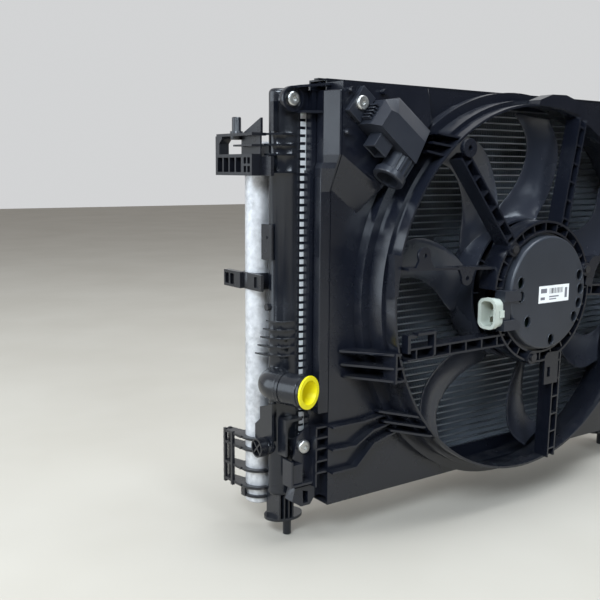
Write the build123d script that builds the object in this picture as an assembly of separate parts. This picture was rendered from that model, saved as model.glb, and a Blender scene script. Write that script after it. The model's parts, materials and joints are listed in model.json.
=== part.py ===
"""Engine cooling module: radiator, condenser with receiver-drier, fan shroud and electric fan.

The axes: +X runs along the core, +Y points from the fan to the condenser, +Z is up.
While a piece is being made, Y = 0 is the fan-side face of the radiator's headers, X = 0 is
the middle of the core and Z = 0 is the tip of the lower pins. Everything is moved along Y at
the end, so that the origin lies under the middle of the module's outer box.
"""
from build123d import *
from math import cos, radians, sin
import os

# ---------------------------------------------------------------- driving dimensions, mm
TUBE_PITCH = 8.0
TUBE_COUNT = 52
TUBE_THICK = 1.8
TUBE_WALL = 0.35
CORE_Z = 271.5
CORE_FRONT = 5.0
CORE_BACK = 31.0
HEADER_X = 276.0
HEADER_LOW = 50.0
HEADER_HIGH = 492.0
FOOT_X = 284.5
TANK_X = 311.0
TANK_DEEP = 36.0
SHELL_IN = 2.0
TANK_WALL = 3.0
PIN_X = 288.0
PIN_Y = 17.0
PIN_R = 4.75
PIN_LONG = 19.0

COND_PITCH = 9.5
COND_COUNT = 42
COND_Z = 262.0
COND_Y = 51.0
COND_DEEP = 16.0
MANIFOLD_X = 278.0
MANIFOLD_R = 9.0
DRIER_X = 303.0
DRIER_Y = 53.0
DRIER_R = 15.0
DRIER_LOW = 33.0
DRIER_HIGH = 438.0

PIPE_R = 17.0
PIPE_BORE = 14.5
PIPE_TURN = 18.6
PIPE_Z = 181.0
PIPE_CORNER = (-326.0, 15.0)
PIPE_LONG = 63.0
SPOUT_LONG = 30.0
INLET_Z = 368.0

PLATE_X = 264.0
PLATE_Y = -24.0
PLATE_LOW = 43.0
PLATE_HIGH = 497.5
PLATE_THICK = 2.5
STEP_Y = -10.0
SKIRT_X = 279.5
SKIRT_Y = -2.4
SKIRT_JOG_Z = 408.0
PLATFORM_Y = -42.0
EAR_Y = -10.5
SCREW_R = 2.2
TOP_SCREW_Z = 480.0
LOW_SCREW_X = -288.0
LOW_SCREW_Z = 111.0

FAN_Z = 268.3
RING_BASE_R = 232.0
RING_MID_R = 222.0
RING_LIP_R = 215.0
RING_WALL = 2.5
LIP_Y = -78.0

BLADE_TURNS = (17.5, 73, 117, 164, 222, 277, 325)
BLADE_TIP_R = 208.0
BLADE_THICK = 2.8
BLADE_CAMBER = 4.0
BLADE_Y = -43.0
HUB_R = 85.0
HUB_FRONT = -60.0
HUB_BACK = -22.0
# Each station of a blade: radius, angle, width across the fan, depth along the shaft.
BLADE_STATIONS = ((83, 16, 50, 26), (105, 7, 47, 20), (127, 1.5, 44, 15.5), (147, 0, 44, 13),
                  (167, 0.5, 46, 12), (188, 4, 50, 11), (BLADE_TIP_R, 10, 54, 10))
SHAFT_R = 4.0
CUP_R = 69.0
CUP_FRONT = -66.0

CAP_R = 66.5
CAP_Y = -102.0
CARRIER_R = 84.0
CARRIER_FRONT = -94.0
CARRIER_BACK = -70.0

DRAIN_Y = 20.0
DRAIN_Z = 107.0
SEAL_GAP = 0.05

FRONT_REACH = -105.54
REAR_REACH = 98.0
DEPTH_SHIFT = -(FRONT_REACH + REAR_REACH) / 2

TUBE_ZS = [CORE_Z + (i - (TUBE_COUNT - 1) / 2) * TUBE_PITCH for i in range(TUBE_COUNT)]
COND_ZS = [COND_Z + (i - (COND_COUNT - 1) / 2) * COND_PITCH for i in range(COND_COUNT)]


# ---------------------------------------------------------------- helpers
def block(x0, x1, y0, y1, z0, z1):
    """A box between two corners."""
    centre = Pos((x0 + x1) / 2, (y0 + y1) / 2, (z0 + z1) / 2)
    return centre * Box(abs(x1 - x0), abs(y1 - y0), abs(z1 - z0))


def post(x, y, z0, z1, r):
    """A round bar along Z."""
    return Pos(x, y, (z0 + z1) / 2) * Cylinder(r, abs(z1 - z0))


def rod(x, z, y0, y1, r):
    """A round bar along Y."""
    return Pos(x, (y0 + y1) / 2, z) * Rot(90, 0, 0) * Cylinder(r, abs(y1 - y0))


def spindle(y, z, x0, x1, r):
    """A round bar along X."""
    return Pos((x0 + x1) / 2, y, z) * Rot(0, 90, 0) * Cylinder(r, abs(x1 - x0))


def slab(points, y0, y1):
    """A flat shape drawn in X and Z, as thick as from y0 to y1."""
    outline = Polyline(*[(x, y0, z) for x, z in points], close=True)
    return extrude(make_face(outline), amount=y1 - y0, dir=(0, 1, 0))


def shelf(points, z0, z1):
    """A flat shape drawn in X and Y, as thick as from z0 to z1."""
    outline = Polyline(*[(x, y, z0) for x, y in points], close=True)
    return extrude(make_face(outline), amount=z1 - z0, dir=(0, 0, 1))


def wing(points, x0, x1):
    """A flat shape drawn in Y and Z, as thick as from x0 to x1."""
    outline = Polyline(*[(x0, y, z) for y, z in points], close=True)
    return extrude(make_face(outline), amount=x1 - x0, dir=(1, 0, 0))


def turned(points):
    """A ring or disc turned about the fan's axis from a section drawn in radius and Y."""
    outline = Polyline(*[(r, y, FAN_Z) for r, y in points], close=True)
    return revolve(make_face(outline), axis=Axis((0, 0, FAN_Z), (0, 1, 0)))


def joined(pieces):
    """All the pieces made into one solid."""
    first, *rest = pieces
    return first.fuse(*rest) if rest else first


def other_end(shape):
    """The same shape at the other end of the core."""
    return mirror(shape, about=Plane.YZ)


def write(name, *pieces):
    """Moves the pieces of one sub-part to the finished frame and stores them."""
    moved = [Pos(0, DEPTH_SHIFT, 0) * piece for piece in pieces]
    solids = [solid for piece in moved for solid in piece.solids()]
    shape = solids[0] if len(solids) == 1 else Compound(children=solids)
    export_step(shape, f"parts/{name}.step")


# ---------------------------------------------------------------- radiator core
def flat_tube(half, y0, y1, z, thick, wall):
    """A flat tube along X with round edges and a channel through it."""
    middle = (y0 + y1) / 2
    plane = Plane(origin=(-half, middle, z), x_dir=(0, 1, 0), z_dir=(1, 0, 0))
    outer = plane * RectangleRounded(y1 - y0, thick, thick * 0.49)
    inner_thick = thick - 2 * wall
    inner = plane * RectangleRounded(y1 - y0 - 2 * wall, inner_thick, inner_thick * 0.49)
    return extrude(outer - inner, amount=2 * half)


def fin_strip(half, y0, y1, z0, z1, waves, thick):
    """A folded strip between two tubes."""
    steps = 2 * waves
    xs = [-half + 2 * half * i / steps for i in range(steps + 1)]
    lower = [(x, z0 if i % 2 == 0 else z1 - thick) for i, x in enumerate(xs)]
    upper = [(x, z + thick) for x, z in lower]
    return slab(lower + upper[::-1], y0, y1)


def radiator_tubes():
    half = HEADER_X + 2.5
    return [flat_tube(half, CORE_FRONT, CORE_BACK, z, TUBE_THICK, TUBE_WALL) for z in TUBE_ZS]


def radiator_fins():
    gap = TUBE_PITCH - TUBE_THICK
    floors = [TUBE_ZS[0] - TUBE_THICK / 2 - gap] + [z + TUBE_THICK / 2 for z in TUBE_ZS]
    half = HEADER_X - 3
    return [fin_strip(half, CORE_FRONT + 0.5, CORE_BACK - 0.5, z + 0.01, z + gap - 0.01, 16, 0.45)
            for z in floors]


CORE_TOP = TUBE_ZS[-1] + TUBE_PITCH - TUBE_THICK / 2
CORE_LOW = TUBE_ZS[0] - TUBE_PITCH + TUBE_THICK / 2


def side_plate(z, up):
    """The channel that closes the core's top or bottom."""
    half = HEADER_X - 1
    lip = 6.0
    web = block(-half, half, CORE_FRONT, CORE_BACK, z, z + 1.5 * up)
    front = block(-half, half, CORE_FRONT, CORE_FRONT + 1.2, z, z + lip * up)
    back = block(-half, half, CORE_BACK - 1.2, CORE_BACK, z, z + lip * up)
    return joined([web, front, back])


def header():
    """The left header: a tray that takes the tubes, with a row of tabs bent over the tank."""
    web = block(-HEADER_X - 1.5, -HEADER_X, -1, TANK_DEEP + 1, HEADER_LOW, HEADER_HIGH)
    section = [(-HEADER_X, -1), (-HEADER_X, -2.2), (-FOOT_X - 0.9, -2.2), (-FOOT_X - 0.9, -0.2),
               (-FOOT_X - 0.1, -0.2), (-FOOT_X - 0.1, -1)]
    front = shelf(section, HEADER_LOW, HEADER_HIGH)
    back = Pos(0, TANK_DEEP, 0) * mirror(front, about=Plane.XZ)
    gap = 3.1
    rows = range(-TUBE_COUNT // 2, TUBE_COUNT // 2 + 1)
    gaps = [block(-FOOT_X - 2, -HEADER_X - 3.4, -3, TANK_DEEP + 3, z - gap / 2, z + gap / 2)
            for z in [CORE_Z + (row + 0.5) * TUBE_PITCH for row in rows]]
    slots = [block(-HEADER_X - 2, -HEADER_X + 1, CORE_FRONT, CORE_BACK, z - TUBE_THICK / 2,
                   z + TUBE_THICK / 2) for z in TUBE_ZS]
    ends = [block(-FOOT_X, -HEADER_X, -2.2, TANK_DEEP + 2.2, z, z + 1.2)
            for z in (HEADER_LOW - 1.2, HEADER_HIGH)]
    return joined([web, front, back] + ends).cut(*gaps, *slots)


def gasket():
    """The rubber loop squeezed between the left header and the tank's foot."""
    outer = block(-HEADER_X - 3.2, -HEADER_X - 1.5, -0.9, TANK_DEEP + 0.9,
                  HEADER_LOW + 0.1, HEADER_HIGH - 0.1)
    inner = block(-HEADER_X - 4, -HEADER_X - 1, 3.4, TANK_DEEP - 3.4,
                  HEADER_LOW + 4.5, HEADER_HIGH - 4.5)
    return outer - inner


# ---------------------------------------------------------------- radiator tanks
def half_round(reach, deep, z0, z1):
    """A D-shaped bar that stands on the header and bulges away from the core."""
    plane = Plane(origin=(-FOOT_X + 2, TANK_DEEP / 2, z0), x_dir=(1, 0, 0), z_dir=(0, 0, 1))
    oval = plane * Ellipse(reach, deep / 2)
    keep = plane * (Pos(-reach / 2, 0) * Rectangle(reach, deep + 2))
    return extrude(oval & keep, amount=z1 - z0)


def tank_shell():
    """The left tank without its fittings: a foot and a hollow half-round shell."""
    reach = TANK_X - FOOT_X + 2
    foot = block(-FOOT_X, -HEADER_X - 3.2, -0.95, TANK_DEEP + 0.95, HEADER_LOW, HEADER_HIGH)
    deep = TANK_DEEP - 2 * SHELL_IN
    shell = half_round(reach, deep, HEADER_LOW, HEADER_HIGH)
    ends = shell.edges().group_by(Axis.Z)[0] + shell.edges().group_by(Axis.Z)[-1]
    shell = fillet(ends.filter_by(GeomType.ELLIPSE), 5)
    inside = half_round(reach - TANK_WALL, deep - 2 * TANK_WALL, HEADER_LOW + TANK_WALL,
                        HEADER_HIGH - TANK_WALL)
    mouth = block(-FOOT_X + 1.9, -HEADER_X - 2, 5, TANK_DEEP - 5,
                  HEADER_LOW + TANK_WALL + 2, HEADER_HIGH - TANK_WALL - 2)
    return joined([foot, shell]), joined([inside, mouth])


def pointed_rib(z, reach, back):
    """A thin pointed rib across the tank's outer side."""
    left = -TANK_X - reach
    points = [(-TANK_X + 24, 1.5), (-TANK_X + 8, 3), (left + 3, back - 16), (left, back),
              (left + 8, back - 7), (-TANK_X + 6, 24), (-TANK_X + 16, 20)]
    return shelf(points, z, z + 1.6)


def lower_pin():
    """The pin that stands in the car's rubber bush, with its flange and ribs."""
    pin = post(-PIN_X, PIN_Y, 0, PIN_LONG + 1, PIN_R)
    pin = chamfer(pin.edges().group_by(Axis.Z)[0], 0.8)
    flange = Pos(-PIN_X, PIN_Y + 8, PIN_LONG) * extrude(Ellipse(23, 18), amount=3.2)
    ribs = [block(x, x + 2, 8, 34, PIN_LONG + 3, HEADER_LOW + 2)
            for x in (-304.5, -298.5, -292.5, -287)]
    spine = block(-303, -286, 19, 21.5, PIN_LONG + 3, HEADER_LOW + 2)
    return [pin, flange, spine] + ribs


def upper_boss():
    """The boss of the shroud's upper screw, outside and bore."""
    return rod(-300, TOP_SCREW_Z, SKIRT_Y + 0.1, 12, 6.5), rod(-300, TOP_SCREW_Z, -3, 9, SCREW_R)


def lower_boss():
    """The boss of the shroud's lower screw, ahead of the header's tabs: outside and bore."""
    nose = rod(LOW_SCREW_X, LOW_SCREW_Z, EAR_Y, -2.6, 6.5)
    root = block(-296, -286, -4, 8, LOW_SCREW_Z - 6, LOW_SCREW_Z + 6)
    return joined([nose, root]), rod(LOW_SCREW_X, LOW_SCREW_Z, EAR_Y - 1, 7, SCREW_R)


def pipe_frame(distance):
    """The plane across the outlet pipe, at a distance from the elbow's corner."""
    turn = radians(PIPE_TURN)
    along = Vector(sin(turn), -cos(turn), 0)
    start = Vector(PIPE_CORNER[0], PIPE_CORNER[1], PIPE_Z)
    return Plane(origin=start + along * distance, x_dir=Vector(cos(turn), sin(turn), 0),
                 z_dir=along)


def elbow():
    """The bent root of the outlet, from the tank's side to the spout: outside and bore."""
    corner = Vector(PIPE_CORNER[0], PIPE_CORNER[1], PIPE_Z)
    root = Vector(-296, PIPE_CORNER[1], PIPE_Z)
    end = pipe_frame(PIPE_LONG - SPOUT_LONG)
    path = FilletPolyline(root, corner, end.origin, radius=20.5)
    start = Plane(origin=root, x_dir=(0, 1, 0), z_dir=(-1, 0, 0))
    outside = sweep(start * Circle(PIPE_R - 0.6), path=path)
    bore = sweep(start * Circle(PIPE_BORE - 1.5), path=path)
    neck = end * Circle(PIPE_R)
    collar = extrude(neck, amount=-3)
    return joined([outside, collar]), bore


def spout():
    """The straight end that a hose slides over, welded to the elbow."""
    base = pipe_frame(PIPE_LONG - SPOUT_LONG)
    tip = pipe_frame(PIPE_LONG)
    barrel = extrude(base * Circle(PIPE_R), amount=SPOUT_LONG)
    bead = extrude(pipe_frame(PIPE_LONG - 7) * Circle(PIPE_R + 1.0), amount=4)
    bead = fillet(bead.edges(), 0.9)
    end_ring = extrude(tip * Circle(PIPE_R - 0.6), amount=1.0)
    groove = pipe_frame(PIPE_LONG - SPOUT_LONG + 3)
    ring = extrude(groove * Circle(PIPE_R + 2), amount=1.4) - extrude(groove * Circle(PIPE_R - 1),
                                                                      amount=1.4)
    bore = extrude(base * Circle(PIPE_BORE), amount=SPOUT_LONG + 3)
    return joined([barrel, bead, end_ring]).cut(ring, bore)


def pipe_plug():
    """The transport plug in the spout: a cup with a rim, pulled out before use."""
    tip = pipe_frame(PIPE_LONG + 1.0)
    rim = extrude(tip * Circle(PIPE_R + 0.8), amount=2.4)
    rim = fillet(rim.edges(), 0.9)
    skirt = extrude(tip * Circle(PIPE_BORE - 0.35), amount=-18)
    cup = loft([pipe_frame(PIPE_LONG + 3.4) * Circle(PIPE_BORE - 1.6),
                pipe_frame(PIPE_LONG - 13.5) * Circle(PIPE_BORE - 6)])
    return joined([rim, skirt]) - cup


def drain_boss():
    """The threaded boss of the drain cock, outside and bore."""
    outside = spindle(DRAIN_Y, DRAIN_Z, -317.0, -300, 9.5)
    bore = spindle(DRAIN_Y, DRAIN_Z, -318, -298, 6.0)
    return outside, bore


def drain_cock():
    """The drain screw with its crossed knob."""
    rim = spindle(DRAIN_Y, DRAIN_Z, -327, -318.2, 10.5) - spindle(DRAIN_Y, DRAIN_Z, -328, -320, 8.8)
    cross = [Pos(-323, DRAIN_Y, DRAIN_Z) * Rot(turn, 0, 0) * Box(7, 18.4, 1.8) for turn in (45, 135)]
    stem = spindle(DRAIN_Y, DRAIN_Z, -319, -303, 6.0 - SEAL_GAP)
    neck = spindle(DRAIN_Y, DRAIN_Z, -309, -306.5, 7) - spindle(DRAIN_Y, DRAIN_Z, -310, -306, 4.2)
    return joined([rim, stem] + cross) - neck


def drain_seal():
    """The sealing ring in the drain screw's groove."""
    ring = spindle(DRAIN_Y, DRAIN_Z, -308.8, -306.7, 5.9)
    return ring - spindle(DRAIN_Y, DRAIN_Z, -310, -306, 4.25)


def tank_left():
    shell, hollow = tank_shell()
    ribs = [pointed_rib(246 - 9.3 * i, 1.5 + 1.6 * i, 24 + 3 * i) for i in range(5)]
    shoulder = block(-313.5, -308, 8, 14, 448, 478)
    upper_ribs = [shelf([(-TANK_X + 21, 0.6), (-TANK_X + 4, 1.5), (-TANK_X - 5, 12),
                         (-TANK_X - 5, 22), (-TANK_X + 8, 22)], z, z + 2) for z in (444, 433, 423, 405)]
    hook_plate = wing([(6, 112), (40, 112), (40, 128), (30, 136), (30, 150), (6, 158)], -316, -313)
    hook_root = block(-314, -303, 10, 16, 114, 156)
    top_boss, top_bore = upper_boss()
    low_boss, low_bore = lower_boss()
    ledge = block(-308, -286.2, -9, 3, 139, 142)
    wall = block(-308, -305.5, -9, 6, 101, 141)
    bend, bend_bore = elbow()
    boss, boss_bore = drain_boss()
    solid = joined([shell, shoulder, hook_plate, hook_root, top_boss, low_boss, ledge, wall, bend,
                    boss] + ribs + upper_ribs + lower_pin())
    return solid.cut(hollow, bend_bore, boss_bore, top_bore, low_bore)


def tank_right():
    """The other tank: its inlet is near the top and points to the fan side."""
    shell, hollow = tank_shell()
    ribs = [pointed_rib(INLET_Z - 36 - 9.3 * i, 1.5, 24) for i in range(3)]
    top_boss, top_bore = upper_boss()
    low_boss, low_bore = lower_boss()
    lift = INLET_Z - PIPE_Z
    bend, bend_bore = [Pos(0, 0, lift) * piece for piece in elbow()]
    solid = joined([shell, top_boss, low_boss, bend] + ribs + lower_pin())
    return other_end(solid.cut(hollow, bend_bore, top_bore, low_bore))


def inlet(shape):
    """An outlet fitting moved to the inlet's place on the other tank."""
    return other_end(Pos(0, 0, INLET_Z - PIPE_Z) * shape)


def top_rail():
    """The plastic channel clipped over the core's top."""
    outer = block(-250, 250, 2, 34, CORE_TOP + 1.5, 504.5)
    inner = block(-251, 251, 4.2, 31.8, CORE_TOP, 502.3)
    tip = block(-259, -250, 5, 13, 503, 504.5)
    tip_right = block(250, 259, 5, 13, 503, 504.5)
    return joined([outer - inner, tip, tip_right])


# ---------------------------------------------------------------- condenser
def condenser_tubes():
    half = MANIFOLD_X - 5
    front = COND_Y - COND_DEEP / 2
    return [flat_tube(half, front, front + COND_DEEP, z, TUBE_THICK, 0.4) for z in COND_ZS]


def condenser_fins():
    gap = COND_PITCH - TUBE_THICK
    front = COND_Y - COND_DEEP / 2 + 0.4
    floors = [COND_ZS[0] - TUBE_THICK / 2 - gap] + [z + TUBE_THICK / 2 for z in COND_ZS]
    half = MANIFOLD_X - MANIFOLD_R - 1.5
    return [fin_strip(half, front, front + COND_DEEP - 0.8, z + 0.01, z + gap - 0.01, 14, 0.45)
            for z in floors]


def condenser_rails():
    """The flat bars that close the condenser's top and bottom fin rows."""
    half = MANIFOLD_X - MANIFOLD_R - 1
    front = COND_Y - COND_DEEP / 2
    gap = COND_PITCH - TUBE_THICK / 2
    return [block(-half, half, front, front + COND_DEEP, z, z + 1.5)
            for z in (COND_ZS[0] - gap - 1.5, COND_ZS[-1] + gap)]


def manifold():
    """The left manifold: a capped round tube with slots for the flat tubes."""
    low = COND_ZS[0] - 12
    high = COND_ZS[-1] + 12
    tube = post(-MANIFOLD_X, COND_Y, low, high, MANIFOLD_R)
    tube -= post(-MANIFOLD_X, COND_Y, low + 2.5, high - 2.5, MANIFOLD_R - 1.5)
    slots = [block(-MANIFOLD_X + 4.9, -MANIFOLD_X + 10, COND_Y - 8, COND_Y + 8, z - TUBE_THICK / 2,
                   z + TUBE_THICK / 2) for z in COND_ZS]
    return tube.cut(*slots)


def receiver_drier():
    tube = post(-DRIER_X, DRIER_Y, DRIER_LOW, DRIER_HIGH, DRIER_R)
    tube = fillet(tube.edges().group_by(Axis.Z)[-1], 5)
    tube = fillet(tube.edges().group_by(Axis.Z)[0], 2)
    return tube - post(-DRIER_X, DRIER_Y, DRIER_LOW + 8, DRIER_HIGH - 2, DRIER_R - 1.6)


def drier_links():
    """The two fittings that join the receiver-drier to the manifold."""
    links = []
    for z in (84, 128):
        link = block(-DRIER_X + 8, -MANIFOLD_X - 4, DRIER_Y - 7, DRIER_Y + 4, z, z + 14)
        link -= post(-DRIER_X, DRIER_Y, 0, 500, DRIER_R)
        link -= post(-MANIFOLD_X, COND_Y, 0, 500, MANIFOLD_R)
        links.append(link)
    return links


def condenser_brackets():
    """Four blocks between the manifolds and the backs of the headers."""
    blocks = []
    for z in (112, 400):
        left = block(-284, -276.5, TANK_DEEP + 2.2, COND_Y, z, z + 20)
        left -= post(-MANIFOLD_X, COND_Y, 0, 500, MANIFOLD_R)
        blocks += [left, other_end(left)]
    return blocks


def port_block():
    """The block on the right manifold that takes the two refrigerant pipes."""
    body = block(MANIFOLD_X + 3, MANIFOLD_X + 24, COND_Y - 9, COND_Y + 11, 322, 372)
    body = fillet(body.edges().filter_by(Axis.X), 3)
    body -= post(MANIFOLD_X, COND_Y, 0, 500, MANIFOLD_R)
    for z, r in ((335, 5.0), (359, 7.0)):
        body -= spindle(COND_Y + 1, z, MANIFOLD_X + 12, MANIFOLD_X + 25, r)
    return body


def port_caps():
    """Transport caps in the two ports."""
    caps = []
    for z, r in ((335, 5.0), (359, 7.0)):
        stem = spindle(COND_Y + 1, z, MANIFOLD_X + 16, MANIFOLD_X + 24, r)
        flange = spindle(COND_Y + 1, z, MANIFOLD_X + 24, MANIFOLD_X + 26.5, r + 2)
        caps.append(joined([stem, flange]))
    return caps


def air_seals():
    """Foam strips between the radiator and the condenser."""
    front = CORE_BACK
    back = COND_Y - COND_DEEP / 2
    return [block(-262, 262, front, back, z, z + 12) for z in (COND_ZS[0] - 2, COND_ZS[-1] - 10)]


# ---------------------------------------------------------------- brackets on the left and right
def mounting_bracket():
    """The upper left bracket: two shelves, a row of cells, an end post and the upper pin."""
    top = shelf([(-331, 22.2), (-331, 96), (-316, 98), (-316, 36), (-313, 30), (-313, 22.2)], 443.5, 446.5)
    middle = shelf([(-331, 22.2), (-331, 60), (-318.6, 60), (-318.6, 30), (-313, 22.2)], 432.5, 434.5)
    cells = block(-331, -318.6, 22.2, 98, 402, 424.5)
    windows = [block(-333, -321, y, y + 10.5, 405.5, 421) for y in (44, 57, 70, 83)]
    panes = [block(-333, -321, y, y + 5, z, z + 6.5) for y in (26, 33.5) for z in (405.5, 414.5)]
    wall = block(-320.6, -318.6, 22.2, 60, 402, 444)
    arm = block(-320.5, -316.5, 2, 24, 402, 422)
    end = wing([(90, 402), (98, 402), (98, 444), (84, 446), (84, 441), (90, 436)], -331, -318.6)
    gusset = wing([(24, 446), (62, 446), (24, 462)], -319, -316.2)
    pin = post(-323, 66, 440, 464, 5)
    pin = chamfer(pin.edges().group_by(Axis.Z)[-1], 0.8)
    collar = post(-323, 66, 440, 449, 7)
    body = joined([top, middle, cells, wall, arm, end, gusset, pin, collar])
    body = body.cut(*windows, *panes)
    clearance = post(-DRIER_X, DRIER_Y, 380, DRIER_HIGH + 2, DRIER_R + 0.3)
    return body - clearance


def receiver_clip():
    """The band halfway up the receiver-drier."""
    ring = post(-DRIER_X, DRIER_Y, 279, 297, DRIER_R + 3) - post(-DRIER_X, DRIER_Y, 270, 300, DRIER_R)
    gap = block(-DRIER_X, -DRIER_X + 20, DRIER_Y - 10, DRIER_Y + 20, 270, 300)
    tail = block(-325, -317, DRIER_Y + 4, 92, 279, 297)
    tail -= post(-DRIER_X, DRIER_Y, 270, 300, DRIER_R)
    slots = [block(-326, -321, y, y + 8, 282, 294) for y in (70, 81)]
    arm = block(-321, -317.6, 20, 48, 279, 297)
    window = block(-326, -319, 24, 34, 282, 294)
    return joined([ring - gap, tail, arm]).cut(*slots, window)


def receiver_cage():
    """The lower holder of the receiver-drier: four curved bands and two posts."""
    bands = []
    for z in (51, 71, 95, 108):
        band = post(-DRIER_X, DRIER_Y, z, z + 3, DRIER_R + 6) - block(-DRIER_X, -280, 20, 90, z, z + 3)
        tail = shelf([(-325, 56), (-327, 92), (-316, 92), (-308, 66)], z, z + 3)
        bands += [band, tail]
    hollow = post(-DRIER_X, DRIER_Y, 40, 120, DRIER_R)
    posts = [block(-327, -323.5, y, y + 4, 48, 112) for y in (72, 88)]
    back = block(-321, -317, 88, 92, 48, 112)
    floor = post(-DRIER_X, DRIER_Y, 40, 43, DRIER_R + 3) - block(-DRIER_X, -280, 20, 90, 40, 43)
    stay = block(-322.5, -320, 52, 60, 40, 52)
    return joined(bands + posts + [back, floor, stay]).cut(hollow)


def tank_clip():
    """The small plate with a dot clipped to the tank's side, and a stud below it."""
    plate = block(-314.2, -312.0, 10, 30, 313, 351)
    dot = spindle(20, 337, -315.2, -313, 1.6)
    stud = spindle(20, 262, -314.5, -311.05, 4)
    foot = block(-312.2, -311.02, 14, 22, 318, 346)
    return [joined([plate, dot, foot]), stud]


# ---------------------------------------------------------------- fan shroud
def ring_section():
    """The stepped wall of the fan ring, in radius and Y."""
    t = RING_WALL
    outside = [(RING_BASE_R, PLATE_Y), (RING_BASE_R, -40), (RING_MID_R, -40), (RING_MID_R, -61.5),
               (RING_LIP_R + 2, -61.5), (RING_LIP_R + 2, LIP_Y)]
    inside = [(RING_LIP_R - 0.5, LIP_Y), (RING_LIP_R - 0.5, -61.5 + t), (RING_MID_R - t, -61.5 + t),
              (RING_MID_R - t, -40 + t), (RING_BASE_R - t, -40 + t), (RING_BASE_R - t, PLATE_Y)]
    return outside + inside


def platform(lower, y, inset):
    """The raised corner that carries the fan relay module, as a solid lump."""
    left = inset - PLATE_X
    top = PLATE_HIGH - inset
    high = [(left, 424), (-211, 389), (-141, 460), (-148, top), (left, top)]
    low = [(left, 388), (-230, 363), (-122, 464), (-130, top), (left, top)]
    faces = [make_face(Polyline(*[(x, at, z) for x, z in points], close=True))
             for points, at in ((high, y), (low, lower))]
    return loft(faces, ruled=True)


def shroud_plate():
    plate = block(-PLATE_X, PLATE_X, PLATE_Y - PLATE_THICK, PLATE_Y, PLATE_LOW, PLATE_HIGH)
    plate -= rod(0, FAN_Z, -60, 0, RING_BASE_R - 1)
    raised = platform(PLATE_Y - PLATE_THICK, PLATFORM_Y - PLATE_THICK, 0)
    return joined([plate, raised])


def shroud_walls():
    """The stepped walls from the plate back to the headers, and the top and bottom walls."""
    section = [(-PLATE_X, PLATE_Y - PLATE_THICK), (-PLATE_X, STEP_Y - 2.5), (-SKIRT_X, STEP_Y - 2.5),
               (-SKIRT_X, SKIRT_Y), (-SKIRT_X + 2.5, SKIRT_Y), (-SKIRT_X + 2.5, STEP_Y),
               (-PLATE_X + 2.5, STEP_Y), (-PLATE_X + 2.5, PLATE_Y - PLATE_THICK)]
    left = shelf(section, PLATE_LOW + 8, PLATE_HIGH - 8)
    bottom = block(-PLATE_X, PLATE_X, PLATE_Y - PLATE_THICK, SKIRT_Y, PLATE_LOW, PLATE_LOW + 2.5)
    top = block(-PLATE_X, PLATE_X, PLATE_Y - PLATE_THICK, SKIRT_Y, PLATE_HIGH - 2.5, PLATE_HIGH)
    wider = block(-SKIRT_X - 2, -SKIRT_X + 1, STEP_Y - 2.5, SKIRT_Y, 146, SKIRT_JOG_Z)
    return [left, other_end(left), bottom, top, wider]


def bottom_lip():
    """The lip that closes the gap between the shroud and the core's lower side plate."""
    belly = rod(0, FAN_Z, PLATE_Y - 1, 4.6, RING_BASE_R) - rod(0, FAN_Z, -60, 6, RING_BASE_R - RING_WALL)
    belly &= block(-120, 120, -60, 6, 0, PLATE_LOW + 2)
    sill = rod(0, FAN_Z, 2, 4.6, RING_BASE_R) & block(-120, 120, 0, 6, 0, 60)
    strip = block(-PLATE_X, PLATE_X, 2, 4.6, PLATE_LOW, 60)
    floor = block(-PLATE_X, PLATE_X, SKIRT_Y - 1, 4.6, PLATE_LOW, PLATE_LOW + 2.5)
    floor -= rod(0, FAN_Z, -10, 6, RING_BASE_R - 1)
    return [belly, sill, strip, floor]


def corner_ear():
    """The upper left screw ear with the channel that leads to the plate."""
    tab = rod(-300, TOP_SCREW_Z, -6, SKIRT_Y, 13)
    arm = slab([(-300, 467.2), (-300, 493), (-SKIRT_X, 493), (-SKIRT_X, 467)], -6, SKIRT_Y)
    rim = rod(-300, TOP_SCREW_Z, -9, SKIRT_Y, 13) - rod(-300, TOP_SCREW_Z, -10, 0, 11.2)
    upper = slab([(-298, 491), (-298, 493.4), (-262, 497), (-262, 494.6)], -26, SKIRT_Y)
    lower = slab([(-294, 466), (-294, 468.4), (-262, 468.4), (-262, 466)], -26, SKIRT_Y)
    taper = shelf([(-300, -12), (-300, -30), (-262, -30), (-262, -27), (-280, -24)], 460, 500)
    hole = rod(-300, TOP_SCREW_Z, -12, 0, SCREW_R + 0.4)
    return joined([tab, arm, rim, upper, lower]).cut(taper, hole)


def lower_ear():
    """The lower left screw ear, its pocket and the rungs beside it."""
    plate = slab([(-300, 98), (-296, 122), (-284, 131), (-264, 134), (-264, 70), (-276, 66),
                  (-290, 88)], EAR_Y - 2.5, EAR_Y)
    rungs = [block(-SKIRT_X, -PLATE_X, PLATE_Y - 2, STEP_Y, z, z + 2) for z in (132, 120, 108, 94, 81)]
    rail = block(-SKIRT_X, -SKIRT_X + 2, PLATE_Y - 1, STEP_Y, 66, 134)
    pocket = block(-309, -279, -22, SKIRT_Y - 2.6, 70, 99)
    pocket -= block(-306.6, -281.4, -23, 0, 72.5, 100)
    tongue = block(-305, -293, -20, SKIRT_Y - 3, 72, 94)
    tongue -= block(-303.4, -292, -18, 0, 74, 92)
    hook = slab([(-300, 66), (-274, 66), (-274, 52), (-280, 44), (-292, 44), (-304, 52)], -16, SKIRT_Y)
    hook -= slab([(-290, 62), (-283, 60), (-283, 47), (-289, 47)], -17, -4)
    hole = rod(LOW_SCREW_X, LOW_SCREW_Z, EAR_Y - 4, 0, SCREW_R + 0.4)
    return joined([plate, rail, pocket, tongue, hook] + rungs).cut(hole)


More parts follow.
